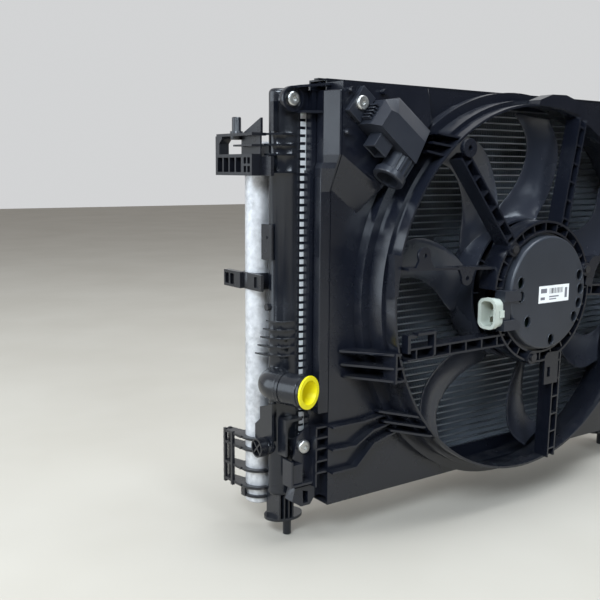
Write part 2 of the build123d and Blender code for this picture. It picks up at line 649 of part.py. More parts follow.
def s_rib(points, deep):
    """A thin rib on the plate's face along bent runs, made of one upright strip for each run."""
    strips = []
    for (x0, z0), (x1, z1) in zip(points, points[1:]):
        strips.append(slab([(x0, z0), (x1, z1), (x1, z1 - 2.2), (x0, z0 - 2.2)],
                           PLATE_Y - deep, PLATE_Y - 1))
    return strips


def lower_ribs():
    """Three bent ribs from the lower ear to the ring."""
    return (s_rib([(-264, 134), (-221, 134), (-192, 137), (-180, 140)], 12)
            + s_rib([(-264, 109), (-232, 108), (-206, 122), (-191, 124), (-170, 128)], 12)
            + s_rib([(-264, 83), (-231, 83), (-206, 106), (-188, 111), (-158, 117)], 12))


def strut_roots():
    """The stacked shelves that lead the left strut over the ring's steps."""
    shelves = []
    for z, start in ((214, -252), (199, -250), (185, -246)):
        outline = [(start, PLATE_Y - 1), (start, PLATE_Y - 5), (-214, -80), (-203, -80),
                   (-209, PLATE_Y - 1)]
        shelves.append(shelf(outline, z, z + 2.4))
    front = slab([(-216, 184), (-216, 217), (-213.5, 217), (-213.5, 184)], -80, -60)
    return shelves + [front]


def rib_ramps():
    """The ends of the three bent ribs, which climb over the ring's steps to its lip."""
    ramps = []
    for z, base in ((140, -200), (127, -192), (115, -182)):
        outline = [(base, PLATE_Y - 1), (base, PLATE_Y - 12), (base + 22, LIP_Y + 2),
                   (base + 34, LIP_Y + 2), (base + 34, PLATE_Y - 1)]
        ramps.append(shelf(outline, z, z + 2.4))
    return ramps


def strut_pads():
    """The raised pads on the ring's lip, on the left and where the upper strut lands."""
    left = [(-219, 277), (-221, 322), (-206, 320), (-205, 279)]
    top = [(-6, 484), (-4, 490), (17, 497), (42, 497.5), (63, 492), (75, 481), (71, 475), (30, 482)]
    return [slab(left, LIP_Y - 1.5, -70), slab(top, LIP_Y - 1.5, -62)]


def relay_ribs():
    """Three short ribs between the raised corner and the ring's lip."""
    ribs = []
    runs = (((-160, 449), (-121, 444)), ((-168, 439), (-128, 434)), ((-176, 430), (-141, 424)))
    for (x0, z0), (x1, z1) in runs:
        ribs.append(slab([(x0, z0), (x1, z1), (x1, z1 - 2.2), (x0, z0 - 2.2)], -76, PLATFORM_Y + 4))
    return ribs


def relay_studs():
    """Three locating studs on the raised corner, round the relay module's bracket."""
    face = PLATFORM_Y - PLATE_THICK
    return [rod(x, z, face - 7, face + 1, 3) for x, z in ((-256, 489), (-259.5, 447), (-213, 489))]


def fan_shroud():
    bore = rod(0, FAN_Z, -120, 0, RING_LIP_R - 0.5)
    ring = turned(ring_section())
    ears = [corner_ear(), other_end(corner_ear()), lower_ear(), other_end(lower_ear())]
    inner_lump = platform(PLATE_Y + 0.1, PLATFORM_Y, PLATE_THICK)
    body = shroud_plate() - inner_lump
    body -= turned([(0, -100), (RING_BASE_R - RING_WALL, -100), (RING_BASE_R - RING_WALL, 0), (0, 0)])
    extras = lower_ribs() + rib_ramps() + strut_roots() + relay_ribs() + relay_studs() + strut_pads()
    extras = [piece.cut(bore) for piece in extras]
    return joined([body, ring] + shroud_walls() + bottom_lip() + ears + extras)


def support_foot():
    """The moulded foot under the shroud's right-hand corner, ahead of the pins."""
    outline = [(-62, 0), (-44, 0), (-22, 36), (-3, 38), (-3, PLATE_LOW), (-26.5, PLATE_LOW), (-50, 6),
               (-62, 6)]
    return wing(outline, PLATE_X - 15, PLATE_X - 1)


# ---------------------------------------------------------------- motor carrier
def ladder(inner, outer, y_inner, y_outer, width, deep, rungs):
    """A strut of two thin rails, a floor and rungs, from the carrier ring to the fan ring."""
    start = Vector(inner[0], y_inner, FAN_Z + inner[1])
    end = Vector(outer[0], y_outer, FAN_Z + outer[1])
    along = end - start
    long = along.length
    side = Vector(along.Z, 0, -along.X).normalized()
    frame = Plane(origin=start, x_dir=along.normalized(), z_dir=side.cross(along.normalized()) * -1)
    if frame.z_dir.Y > 0:
        frame = Plane(origin=start, x_dir=along.normalized(), z_dir=frame.z_dir * -1)
    pieces = [Pos(long / 2, s * (width / 2 - 1.1), -deep / 2) * Box(long, 2.2, deep) for s in (-1, 1)]
    pieces.append(Pos(long / 2, 0, -deep + 1) * Box(long, width - 1, 2))
    pieces += [Pos(long * (i + 0.5) / rungs, 0, -deep / 2) * Box(2, width - 2, deep)
               for i in range(rungs)]
    return [frame * piece for piece in pieces]


SCREW_ANGLES = (137, 17, 257)
STRUTS = (((-56, 58), (-128, 157)), ((32, 74), (71, 203)), ((81, -3), (211, -14)),
          ((32, -75), (42, -212)), ((-64, -50), (-203, -54)))


def carrier_ring():
    """The ring round the motor, with radial ribs between two walls."""
    outer = turned([(CARRIER_R - 2.5, CARRIER_BACK), (CARRIER_R, CARRIER_BACK),
                    (CARRIER_R, CARRIER_FRONT), (CARRIER_R - 2.5, CARRIER_FRONT)])
    inner = turned([(70, CARRIER_BACK), (72.5, CARRIER_BACK), (72.5, CARRIER_FRONT), (70, CARRIER_FRONT)])
    floor = turned([(70, CARRIER_BACK), (CARRIER_R, CARRIER_BACK), (CARRIER_R, CARRIER_BACK - 2.5),
                    (70, CARRIER_BACK - 2.5)])
    spokes = [Pos(0, 0, FAN_Z) * Rot(0, 15 * i, 0) * block(71, CARRIER_R - 1, CARRIER_FRONT + 1,
                                                           CARRIER_BACK, -1, 1) for i in range(24)]
    return [outer, inner, floor] + spokes


def cross_bar():
    """The thin bar on the left with its two cable-clip tabs."""
    bar = slab([(-208, 40 + FAN_Z), (-76, 34 + FAN_Z), (-76, 31 + FAN_Z), (-208, 37 + FAN_Z)], -88, -70)
    upper = rod(-186, 52 + FAN_Z, -88, -85, 9) - rod(-186, 52 + FAN_Z, -90, -80, 2.6)
    upper_root = slab([(-199, 306), (-190, 322), (-180, 322), (-171, 304)], -88, -85)
    upper_root -= rod(-186, 52 + FAN_Z, -90, -80, 6)
    lower = rod(-122, 24 + FAN_Z, -88, -85, 8) - rod(-122, 24 + FAN_Z, -90, -80, 2.6)
    lower_root = slab([(-136, 306), (-108, 304), (-116, 290), (-128, 290)], -88, -85)
    lower_root -= rod(-122, 24 + FAN_Z, -90, -80, 6)
    return [bar, upper, upper_root, lower, lower_root]


def motor_carrier():
    struts = []
    for inner, outer in STRUTS:
        struts += ladder(inner, outer, CARRIER_FRONT, -84, 14, 20, 6)
    hook = slab([(-203, 216), (-203, 236), (-190, 236), (-190, 232), (-199, 232), (-199, 216)], -84, -74)
    loop = block(-192, -166, -88, -78, 212, 238) - block(-193, -169, -90, -76, 211, 235)
    web = slab([(78, 272), (84, 299), (90, 305), (109, 306), (97, 288), (90, 268)], -94, -80)
    tab = rod(-122, 433, -86, -80, 10) - rod(-122, 433, -90, -70, 3)
    tag = slab([(9, 155), (9, 190), (14, 194), (34, 194), (34, 155)], -94, -91.5)
    tag -= block(14, 19.5, -95, -90, 164, 176)
    lugs = [rod(CARRIER_R * 0.93 * cos(radians(a)), FAN_Z + CARRIER_R * 0.93 * sin(radians(a)),
                CARRIER_FRONT - 3, CARRIER_BACK, 8) for a in SCREW_ANGLES]
    solid = joined(carrier_ring() + struts + cross_bar() + [hook, loop, web, tab, tag] + lugs)
    inside = rod(0, FAN_Z, -110, -60, 70)
    outside = turned([(RING_LIP_R + 1.6, -110), (300, -110), (300, -60), (RING_LIP_R + 1.6, -60)])
    lip = turned([(RING_LIP_R - 0.8, LIP_Y - 0.4), (300, LIP_Y - 0.4), (300, -60), (RING_LIP_R - 0.8, -60)])
    window = block(-95, -60, -110, -60, 230.5, 276.5)
    return solid.cut(inside, outside, lip, window)


# ---------------------------------------------------------------- fan
def blade_section(r, lead, width, depth):
    """The curved, tapered cross-section of a blade at one radius, in line with its width."""
    a = radians(lead)
    outward = Vector(cos(a), 0, sin(a))
    chord = Vector(-sin(a), 0, cos(a)) * width + Vector(0, 1, 0) * depth
    half = chord.length / 2
    edge = BLADE_THICK / 4
    hollow = -BLADE_CAMBER
    outline = [ThreePointArc((-half, -edge), (0, hollow - BLADE_THICK / 2), (half, -edge)),
               Line((half, -edge), (half, edge)),
               ThreePointArc((half, edge), (0, hollow + BLADE_THICK / 2), (-half, edge)),
               Line((-half, edge), (-half, -edge))]
    plane = Plane(origin=outward * r + Vector(0, BLADE_Y, 0), x_dir=chord.normalized(), z_dir=outward)
    return plane * make_face(outline)


def blade():
    """One sickle-shaped blade, lofted through its sections from the hub to the tip."""
    return loft([blade_section(*station) for station in BLADE_STATIONS])


def fan_rotor():
    hub = turned([(HUB_R - 3, HUB_FRONT), (HUB_R, HUB_FRONT), (HUB_R, HUB_BACK), (8, HUB_BACK),
                  (8, HUB_BACK - 3), (HUB_R - 3, HUB_BACK - 3)])
    ribs = [Pos(0, 0, FAN_Z) * Rot(0, 30 * i, 0) * block(12, HUB_R - 2, HUB_BACK - 9, HUB_BACK - 2, -1, 1)
            for i in range(12)]
    ribs += [Pos(0, 0, FAN_Z) * Rot(0, 30 * i, 0) * block(CUP_R + 0.3, HUB_R - 2, -56, HUB_BACK - 8, -1, 1)
             for i in range(12)]
    boss = turned([(SHAFT_R, HUB_BACK), (14, HUB_BACK), (14, HUB_BACK - 10), (SHAFT_R, HUB_BACK - 10)])
    first = blade()
    blades = [Pos(0, 0, FAN_Z) * Rot(0, -turn, 0) * first for turn in BLADE_TURNS]
    inside = turned([(0, HUB_FRONT - 10), (HUB_R - 3, HUB_FRONT - 10), (HUB_R - 3, HUB_BACK - 9),
                     (0, HUB_BACK - 9)])
    blades = [piece - inside for piece in blades]
    return joined([hub, boss] + ribs + blades)


def rotor_cup():
    """The steel cup of the outer rotor, inside the fan's hub."""
    return turned([(CUP_R, CUP_FRONT), (CUP_R, -32), (SHAFT_R, -32), (SHAFT_R, -34),
                   (CUP_R - 2, -34), (CUP_R - 2, CUP_FRONT)])


def rotor_magnets():
    """Arc magnets glued inside the cup."""
    ring = turned([(CUP_R - 2, -60), (CUP_R - 2, -38), (CUP_R - 7, -38), (CUP_R - 7, -60)])
    gaps = [Pos(0, 0, FAN_Z) * Rot(0, 36 * i, 0) * block(0, 80, -62, -36, -1, 1) for i in range(10)]
    return ring.cut(*gaps)


def motor_shaft():
    return rod(0, FAN_Z, -92, HUB_BACK + 2, SHAFT_R)


def fan_clip():
    """The round spring clip that holds the fan on the shaft."""
    return rod(0, FAN_Z, HUB_BACK, HUB_BACK + 1.2, 8) - rod(0, FAN_Z, -40, 0, SHAFT_R)


def bearings():
    """Two ball bearings in the stator's tube, each as one ring."""
    return [rod(0, FAN_Z, y, y + 7, 11) - rod(0, FAN_Z, y - 1, y + 8, SHAFT_R + 0.05) for y in (-48, -84)]


def stator_tube():
    """The aluminium base plate with the tube that holds the bearings and the stator."""
    plate = rod(0, FAN_Z, -90, -86, 69.5)
    tube = rod(0, FAN_Z, -88, -38, 13.5)
    bore = rod(0, FAN_Z, -86, -37, 11)
    hole = rod(0, FAN_Z, -91, -80, SHAFT_R + 1)
    return joined([plate, tube]).cut(bore, hole)


def stator_core():
    """The laminated stator with its teeth."""
    teeth = [Pos(0, 0, FAN_Z) * Rot(0, 30 * i, 0) * block(20, 58, -59, -41, -4, 4) for i in range(12)]
    yoke = turned([(13.5, -59), (24, -59), (24, -41), (13.5, -41)])
    shoes = turned([(56, -59), (60.5, -59), (60.5, -41), (56, -41)])
    gaps = [Pos(0, 0, FAN_Z) * Rot(0, 30 * i + 15, 0) * block(50, 70, -62, -38, -2, 2) for i in range(12)]
    return joined([yoke, shoes] + teeth).cut(*gaps)


def windings():
    """Twelve coils, one round each tooth."""
    coil = block(30, 52, -62, -38, -7, 7) - block(29, 53, -59, -41, -4, 4)
    return [Pos(0, 0, FAN_Z) * Rot(0, 30 * i, 0) * coil for i in range(12)]


def control_board():
    """The motor's circuit board between the base plate and the cap."""
    board = rod(0, FAN_Z, -95, -93.4, 60)
    corners = ((-30, 12), (8, 20), (14, -26), (-24, -34))
    parts = [block(x, x + 12, -99, -95, FAN_Z + z, FAN_Z + z + 9) for x, z in corners]
    stand_offs = [rod(44 * cos(a), FAN_Z + 44 * sin(a), -93.4, -90, 3) for a in (0.5, 2.6, 4.7)]
    return joined([board] + parts + stand_offs)


CAP_HOLES = ((-50, 15), (-49, -1), (-36, -31), (54, 18), (57, 1), (55, -16), (47.5, -32), (7, -56))


def hole_shape(x, z, half, y0, y1):
    """An oval hole or rim in the cap, taller than it is wide."""
    return Pos(x, (y0 + y1) / 2, FAN_Z + z) * Rot(90, 0, 0) * extrude(
        Ellipse(half * 0.8, half), amount=(y1 - y0) / 2, both=True)


def motor_cap():
    """The round cover over the motor's electronics."""
    cup = turned([(0, CAP_Y), (CAP_R - 2, CAP_Y), (CAP_R, CAP_Y + 2), (CAP_R, -90), (CAP_R - 2.5, -90),
                  (CAP_R - 2.5, CAP_Y + 2.5), (0, CAP_Y + 2.5)])
    rims = [hole_shape(x, z, 7.4, CAP_Y - 0.8, CAP_Y + 1) for x, z in CAP_HOLES]
    holes = [hole_shape(x, z, 6.2, CAP_Y - 2, CAP_Y + 3) for x, z in CAP_HOLES]
    return joined([cup] + rims).cut(*holes)


def motor_screws():
    """Screws through the carrier's lugs into the base plate."""
    return [rod(CARRIER_R * 0.93 * cos(radians(a)), FAN_Z + CARRIER_R * 0.93 * sin(radians(a)),
                CARRIER_FRONT - 5.5, CARRIER_FRONT - 3, 4.5) for a in SCREW_ANGLES]


def socket_frame(depth):
    """The plane across the motor's socket, at a depth behind its mouth."""
    out = Vector(-0.995, -0.0999, 0)
    return Plane(origin=Vector(-95, -93.6, 251) - out * depth, x_dir=(0, 0, -1), z_dir=out)


def socket_shape(high, wide, deep, start):
    """A block with rounded corners along the socket's axis, from a depth to the mouth."""
    return extrude(socket_frame(start) * RectangleRounded(high, wide, wide * 0.36), amount=deep)


def motor_connector():
    """The two-pin socket on the motor's left side, its mouth to the left."""
    outer = socket_shape(32, 21.5, 25, 25)
    rim = socket_shape(35, 24, 7, 7)
    inner = socket_shape(28.5, 17.5, 22, 19)
    rib = block(-86, -79, -105.4, -102, 247, 255)
    return joined([outer, rim, rib]) - inner


def connector_body():
    """The dark holder between the socket and the motor's cap, with two clamps on the cap's face."""
    body = block(-79, -66.8, -103, -90.2, 231, 276)
    body -= socket_shape(32.4, 21.9, 60, 26)
    clamps = [slab([(-79, z), (-79, z + 12), (-58, z + 12), (-52, z + 8), (-52, z)], -105.4, -103)
              for z in (231, 264)]
    return joined([body] + clamps)


def connector_pins():
    """The two flat terminals in the socket."""
    return [extrude(socket_frame(19) * (Pos(at, 0) * Rectangle(6, 1.2)), amount=12) for at in (-7, 7)]


def motor_label():
    return block(-18, 36, CAP_Y - 0.2, CAP_Y, 257, 277)


# ---------------------------------------------------------------- relay module on the raised corner
RELAY_TURN = 38.0
RELAY_X = -206.5
RELAY_Z = 451.0
RELAY_MID_Y = -62.0
RELAY_SCREW_U = -46.0


def relay_place(u, y, v):
    """A frame on the raised corner: u runs along the relay module, v across it."""
    turn = radians(RELAY_TURN)
    x = RELAY_X + u * cos(turn) + v * sin(turn)
    z = RELAY_Z - u * sin(turn) + v * cos(turn)
    return Pos(x, y, z) * Rot(0, RELAY_TURN, 0)


def relay_bracket():
    """The small plate that carries the relay module, held by a screw."""
    face = PLATFORM_Y - PLATE_THICK
    plate = relay_place(-44, face - 3, -4) * Box(20, 6, 32)
    hole = relay_place(RELAY_SCREW_U, face - 3, -4) * Rot(90, 0, 0) * Cylinder(SCREW_R + 0.4, 12)
    return plate - hole


def relay_face(points, y):
    """A flat face across the relay module from points along and across it."""
    spots = [relay_place(u, y, v).position for u, v in points]
    return make_face(Polyline(*[(spot.X, y, spot.Z) for spot in spots], close=True))


def relay_box():
    """The relay module's housing: a block with a smaller front and sloping sides."""
    front = relay_face([(-29, -21), (31, -21), (27, 4), (-20, 2.5), (-29, -1)], -80)
    edge = [(-33, -21), (34, -21), (35, 26), (-20, 24), (-33, 10)]
    low = extrude(relay_face(edge, -66), amount=PLATFORM_Y - PLATE_THICK + 66, dir=(0, 1, 0))
    return joined([low, loft([front, relay_face(edge, -66)], ruled=True)])


def relay_heat_ribs():
    """Short ribs on the end of the relay module beside its screw."""
    return [relay_place(-35.5, -58, 4 * i - 15) * Box(4, 12, 1.6) for i in range(5)]


def square_socket():
    """The flat socket on the relay module's lower side."""
    body = relay_place(-9, RELAY_MID_Y, -29) * Box(20, 18, 16)
    return body - relay_place(-9, RELAY_MID_Y, -33) * Box(15, 13, 14)


def round_socket():
    """The round socket with a thick rim beside it."""
    body = relay_place(23, RELAY_MID_Y, -34.5) * Cylinder(14.5, 27)
    rim = relay_place(23, RELAY_MID_Y, -44) * Cylinder(17.5, 8)
    rim = fillet(rim.edges(), 1.5)
    keys = [relay_place(23, RELAY_MID_Y, -31) * Rot(0, 0, turn) * Pos(0, -15, 0) * Box(2, 3, 19)
            for turn in (-40, -15, 10, 35)]
    bore = relay_place(23, RELAY_MID_Y, -38) * Cylinder(12.5, 30)
    return joined([body, rim] + keys) - bore


def screw(x, z, y, long):
    """A pan-head screw with a round recess, its head towards the fan side."""
    head = rod(x, z, y - 4.5, y, 7.4)
    head = fillet(head.edges().group_by(Axis.Y)[0], 2)
    return joined([head, rod(x, z, y, y + long, 2.2)]) - rod(x, z, y - 5, y - 2.4, 2.6)


def main():
    os.makedirs("parts", exist_ok=True)
    write("radiator_tubes", *radiator_tubes())
    write("radiator_fins", *radiator_fins())
    write("side_plate_top", side_plate(CORE_TOP, 1))
    write("side_plate_bottom", side_plate(CORE_LOW, -1))
    write("header_left", header())
    write("header_right", other_end(header()))
    write("header_gasket_left", gasket())
    write("header_gasket_right", other_end(gasket()))
    write("tank_left", tank_left())
    write("tank_right", tank_right())
    write("outlet_spout", spout())
    write("inlet_spout", inlet(spout()))
    write("outlet_plug", pipe_plug())
    write("inlet_plug", inlet(pipe_plug()))
    write("drain_cock", drain_cock())
    write("drain_seal", drain_seal())
    write("top_rail", top_rail())
    write("condenser_tubes", *condenser_tubes())
    write("condenser_fins", *condenser_fins())
    write("condenser_rails", *condenser_rails())
    write("manifold_left", manifold())
    write("manifold_right", other_end(manifold()))
    write("receiver_drier", receiver_drier())
    write("drier_links", *drier_links())
    write("condenser_brackets", *condenser_brackets())
    write("port_block", port_block())
    write("port_caps", *port_caps())
    write("air_seals", *air_seals())
    write("mounting_bracket_left", mounting_bracket())
    write("mounting_bracket_right", other_end(mounting_bracket()))
    write("receiver_clip", receiver_clip())
    write("receiver_cage", receiver_cage())
    write("tank_clip", *tank_clip())
    write("fan_shroud", fan_shroud())
    write("support_foot", support_foot())
    write("motor_carrier", motor_carrier())
    write("fan_rotor", fan_rotor())
    write("rotor_cup", rotor_cup())
    write("rotor_magnets", *rotor_magnets().solids())
    write("motor_shaft", motor_shaft())
    write("fan_clip", fan_clip())
    write("bearings", *bearings())
    write("stator_tube", stator_tube())
    write("stator_core", stator_core())
    write("windings", *windings())
    write("control_board", control_board())
    write("motor_cap", motor_cap())
    write("motor_screws", *motor_screws())
    write("motor_connector", motor_connector())
    write("connector_body", connector_body())
    write("connector_pins", *connector_pins())
    write("motor_label", motor_label())
    write("relay_bracket", relay_bracket())
    write("relay_box", relay_box())
    write("relay_heat_ribs", *relay_heat_ribs())
    write("square_socket", square_socket())
    write("round_socket", round_socket())
    top = screw(-300, TOP_SCREW_Z, -6, 14)
    low = screw(LOW_SCREW_X, LOW_SCREW_Z, EAR_Y - 2.5, 18)
    write("shroud_screws", top, other_end(top), low, other_end(low))
    at = relay_place(RELAY_SCREW_U, 0, -4).position
    write("relay_screw", screw(at.X, at.Z, PLATFORM_Y - PLATE_THICK - 6, 6))


main()
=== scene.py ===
import json
from math import cos, radians, sin

import bpy
from mathutils import Matrix, Vector


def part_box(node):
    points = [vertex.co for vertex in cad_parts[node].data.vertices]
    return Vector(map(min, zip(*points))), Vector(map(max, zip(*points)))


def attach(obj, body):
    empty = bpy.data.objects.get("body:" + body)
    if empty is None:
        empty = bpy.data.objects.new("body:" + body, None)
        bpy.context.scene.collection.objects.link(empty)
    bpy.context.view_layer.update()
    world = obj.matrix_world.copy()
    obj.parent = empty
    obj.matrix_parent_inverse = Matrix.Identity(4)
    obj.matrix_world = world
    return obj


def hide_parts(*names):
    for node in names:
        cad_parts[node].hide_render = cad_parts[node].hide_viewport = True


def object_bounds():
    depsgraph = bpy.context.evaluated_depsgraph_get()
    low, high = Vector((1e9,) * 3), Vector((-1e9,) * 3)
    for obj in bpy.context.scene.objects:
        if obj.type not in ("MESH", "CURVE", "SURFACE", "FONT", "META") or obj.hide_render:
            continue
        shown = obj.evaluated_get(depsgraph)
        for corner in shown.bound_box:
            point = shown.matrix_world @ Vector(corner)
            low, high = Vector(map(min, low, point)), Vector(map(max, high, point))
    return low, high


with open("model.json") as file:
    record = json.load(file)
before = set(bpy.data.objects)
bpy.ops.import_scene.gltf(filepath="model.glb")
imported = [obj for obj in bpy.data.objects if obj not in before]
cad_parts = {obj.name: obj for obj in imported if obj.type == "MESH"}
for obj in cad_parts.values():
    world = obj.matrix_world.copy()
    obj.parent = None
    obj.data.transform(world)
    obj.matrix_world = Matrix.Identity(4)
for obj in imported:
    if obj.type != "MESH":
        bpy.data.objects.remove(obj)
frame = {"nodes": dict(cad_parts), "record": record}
cad_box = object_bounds()
nodes = frame["nodes"]

# Camera: place in metres, its three turns in degrees, lens and sensor in millimetres.
CAMERA_PLACE = (-0.80186, -0.73191, 0.40822)
CAMERA_YAW = 35.14
CAMERA_PITCH = 8.73
CAMERA_ROLL = 0.42
CAMERA_LENS = 50.8
SENSOR_WIDTH = 36.0
CAMERA_NEAR = 0.01

# A mix node has sockets for several kinds of value. These are the ones for colours.
MIX_FIRST = 6
MIX_SECOND = 7
MIX_RESULT = 2

DUST = (0.30, 0.29, 0.27)

# Printed marks on the label, as parts of its width and height: left, right, bottom, top. Each
# mark's edge is blurred by LABEL_EDGE, and LABEL_STRIPES sets how fine the bars are.
LABEL_WHITE = (0.86, 0.86, 0.85)
LABEL_BLACK = (0.05, 0.05, 0.06)
LABEL_GREY = (0.16, 0.16, 0.18)
LABEL_EDGE = 0.004
LABEL_STRIPES = 46.0
LABEL_BARS = (0.34, 0.80, 0.52, 0.84)
LABEL_BLOCKS = (
    (0.06, 0.26, 0.58, 0.84), (0.06, 0.20, 0.18, 0.34), (0.34, 0.66, 0.30, 0.38),
    (0.34, 0.58, 0.16, 0.23), (0.86, 0.94, 0.20, 0.80))

# Nodes whose edges are rounded: the radius in metres.
ROUNDED = {
    "fan_shroud": 0.0010, "motor_carrier": 0.0004, "tank_left": 0.0006, "tank_right": 0.0006,
    "mounting_bracket_left": 0.0005, "mounting_bracket_right": 0.0005, "receiver_cage": 0.0005,
    "receiver_clip": 0.0005, "relay_box": 0.0009, "square_socket": 0.0006,
    "relay_bracket": 0.0006, "top_rail": 0.0005, "connector_body": 0.0004,
    "support_foot": 0.0006, "header_left": 0.0004, "header_right": 0.0004,
    "motor_cap": 0.0006, "fan_rotor": 0.0007,
}
# Corners closer than WELD_REACH metres are joined, and edges that turn by more than SHARP_ANGLE
# degrees are rounded.
WELD_REACH = 0.000005
SHARP_ANGLE = 40

# Folded fins, in metres: the piece, the CAD part it stands for, the height of its folds, the
# pitch of its rows, the number of rows, and the length of half a wave.
FIN_THICKNESS = 0.00012
FOLDED_FINS = (
    ("radiator_folds", "radiator_fins", 0.0060, 0.0080, 53, 0.0021),
    ("condenser_folds", "condenser_fins", 0.0076, 0.0095, 43, 0.0023))

# The sloping cover on the shroud's left side wall, in metres. The wall and the shroud's face are
# placed from the left header. Each section up the wall gives its height above the floor, how far
# the cover's back edge and its front edge stand out from the wall, and how far forward it reaches.
# FAIRING_SINK is how deep the cover's edge sits in the wall. FAIRING_BACK and FAIRING_CORNER are
# where the cover and its slope begin, in front of the face.
WALL_FROM_HEADER = 0.012
FACE_FROM_HEADER = 0.018
FAIRING_SINK = 0.0002
FAIRING_BACK = 0.0132
FAIRING_CORNER = 0.0255
FAIRING_ROUNDING = 0.0012
FAIRING_SECTIONS = (
    (0.148, 0.0126, 0.0027, 0.0264), (0.386, 0.0126, 0.0027, 0.0264),
    (0.410, 0.0126, 0.0025, 0.0373), (0.416, 0.0100, 0.0024, 0.0402),
    (0.424, 0.0100, 0.0023, 0.0442), (0.489, 0.0100, 0.0023, 0.0442))

FLOOR_REACH = 8.0
FLOOR_GAP = 0.0005
FLOOR_TONES = ((0.44, 0.40, 0.34), (0.48, 0.44, 0.38))

# Area lights: name, place in metres, power in watts, width in metres, and colour.
LIT_POINT = (-0.05, 0.0, 0.27)
BLUISH = (0.78, 0.89, 1.0)
FAINT_BLUE = (0.84, 0.92, 1.0)
LIGHTS = (
    ("window", (-2.2, -1.5, 2.1), 100.0, 1.1, BLUISH),
    ("front", (-0.3, -3.0, 1.6), 36.0, 1.0, BLUISH),
    ("overhead", (0.1, -0.4, 2.6), 60.0, 1.4, FAINT_BLUE),
    ("left", (-2.5, 1.1, 0.6), 50.0, 2.4, BLUISH))

# The room's light: its strength rises from dim to bright as the direction's Y goes from
# ROOM_NEAR to ROOM_FAR.
ROOM_NEAR, ROOM_FAR = -0.45, 0.25
ROOM_DIM, ROOM_BRIGHT = 0.10, 0.72
ROOM_COLOUR = (0.90, 0.91, 0.92, 1.0)


# ---------------------------------------------------------------- materials
class Shader:
    """A material's node tree with short calls for the nodes used here."""

    def __init__(self, name):
        self.material = bpy.data.materials.new(name)
        self.material.use_nodes = True
        self.nodes = self.material.node_tree.nodes
        self.links = self.material.node_tree.links
        self.surface = self.nodes["Principled BSDF"]
        self.place = self.nodes.new("ShaderNodeTexCoord").outputs["Object"]

    def link(self, source, target):
        self.links.new(source, target)

    def feed(self, source, socket):
        """Links a value or a colour to one of the surface's sockets."""
        self.link(source, self.surface.inputs[socket])

    def set(self, socket, value):
        self.surface.inputs[socket].default_value = value

    def stretched(self, scale):
        """The object's coordinates, scaled along each axis."""
        mapping = self.nodes.new("ShaderNodeMapping")
        mapping.inputs["Scale"].default_value = scale
        self.link(self.place, mapping.inputs["Vector"])
        return mapping.outputs["Vector"]

    def noise(self, scale, detail=3.0, rough=0.55, where=None):
        node = self.nodes.new("ShaderNodeTexNoise")
        node.inputs["Scale"].default_value = scale
        node.inputs["Detail"].default_value = detail
        node.inputs["Roughness"].default_value = rough
        self.link(where or self.place, node.inputs["Vector"])
        return node.outputs["Fac"]

    def span(self, value, low, high, start=0.3, stop=0.7):
        """A value between start and stop, mapped to low and high."""
        node = self.nodes.new("ShaderNodeMapRange")
        node.inputs["From Min"].default_value = start
        node.inputs["From Max"].default_value = stop
        node.inputs["To Min"].default_value = low
        node.inputs["To Max"].default_value = high
        self.link(value, node.inputs["Value"])
        return node.outputs["Result"]

    def blend(self, factor, first, second):
        """A colour between two colours or colour sockets."""
        node = self.nodes.new("ShaderNodeMix")
        node.data_type = "RGBA"
        self.link(factor, node.inputs["Factor"])
        for index, value in ((MIX_FIRST, first), (MIX_SECOND, second)):
            socket = node.inputs[index]
            if isinstance(value, tuple):
                socket.default_value = (*value, 1.0)
            else:
                self.link(value, socket)
        return node.outputs[MIX_RESULT]

    def times(self, first, second):
        node = self.nodes.new("ShaderNodeMath")
        node.operation = "MULTIPLY"
        self.link(first, node.inputs[0])
        self.link(second, node.inputs[1])
        return node.outputs[0]

    def axes(self, vector):
        """A vector's three values, each as an output."""
        split = self.nodes.new("ShaderNodeSeparateXYZ")
        self.link(vector, split.inputs[0])
        return split.outputs

    def upward(self):
        """How much the surface faces up, from 0 to 1."""
        geometry = self.nodes.new("ShaderNodeNewGeometry")
        rise = self.axes(geometry.outputs["Normal"])["Z"]
        return self.span(rise, 0.0, 1.0, start=0.55, stop=1.0)

    def bump(self, height, strength, distance):
        """Adds relief to the surface, on top of any relief it already has."""
        node = self.nodes.new("ShaderNodeBump")
        node.inputs["Strength"].default_value = strength
        node.inputs["Distance"].default_value = distance
        self.link(height, node.inputs["Height"])
        normal = self.surface.inputs["Normal"]
        if normal.is_linked:
            self.link(normal.links[0].from_socket, node.inputs["Normal"])
        self.link(node.outputs["Normal"], normal)


def plastic(name, colour, rough, grain=2600.0, dust=0.06, grit=0.2):
    """Moulded plastic: fine grain, cloudy gloss, and a little dust on upward faces."""
    s = Shader(name)
    clouds = s.noise(scale=9.0, detail=4.0)
    lighter = tuple(c * 1.4 + 0.002 for c in colour)
    base = s.blend(s.span(clouds, 0.0, 1.0), colour, lighter)
    specks = s.span(s.noise(scale=60.0, detail=5.0), 0.0, dust, start=0.35, stop=0.75)
    s.feed(s.blend(s.times(s.upward(), specks), base, DUST), "Base Color")
    gloss = s.noise(scale=24.0, detail=5.0)
    s.feed(s.span(gloss, rough - 0.05, rough + 0.09), "Roughness")
    s.set("IOR", 1.5)
    s.bump(s.noise(scale=grain, detail=2.0), strength=grit, distance=0.00010)
    s.bump(s.noise(scale=30.0, detail=2.0), strength=0.10, distance=0.0008)
    return s.material


